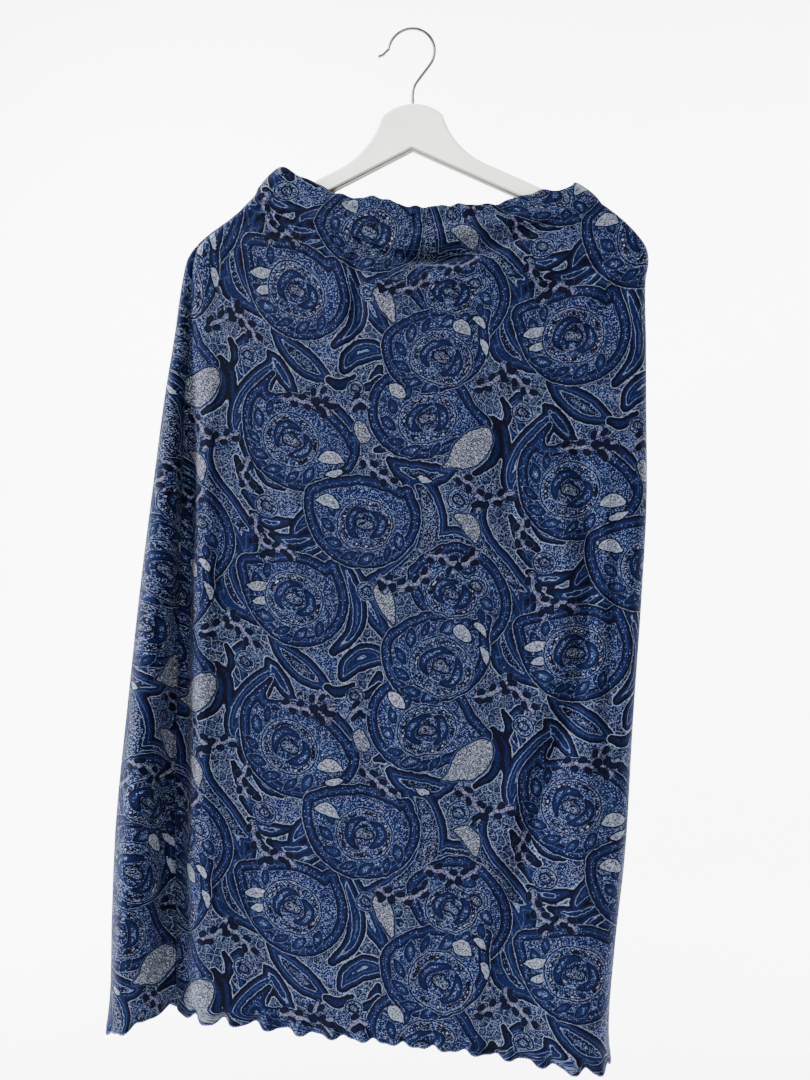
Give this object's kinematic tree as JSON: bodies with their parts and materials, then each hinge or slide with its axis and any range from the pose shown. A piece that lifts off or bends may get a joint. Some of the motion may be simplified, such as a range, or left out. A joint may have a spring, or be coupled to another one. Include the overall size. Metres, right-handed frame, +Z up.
{
  "type": "long skirt on hanger",
  "caption": "Long pull-on skirt with an elastic waist and a wavy lettuce hem, hanging open on a flat wooden hanger with a wire hook.",
  "frame": {"origin": "hang point: the inside of the top of the hanger's hook, which a rail or wall hook carries", "axes": "+Z up, along the hanging length; +X to the right as the front is seen; +Y to the back"},
  "size_m": [0.5091, 0.0766, 0.9849],
  "materials": {
    "front_cloth": "printed stretch jersey, blue paisley, slight sheen",
    "back_cloth": "printed stretch jersey, blue paisley, slight sheen",
    "waist_cloth": "printed stretch jersey folded over elastic",
    "hanger_paint": "satin white paint on wood",
    "hook_steel": "brushed wire"
  },
  "bodies": {
    "root": {"skirt_front": "front_cloth", "skirt_back": "back_cloth", "waistband": "waist_cloth", "hanger_body": "hanger_paint", "hanger_hook": "hook_steel"}
  },
  "joints": []
}
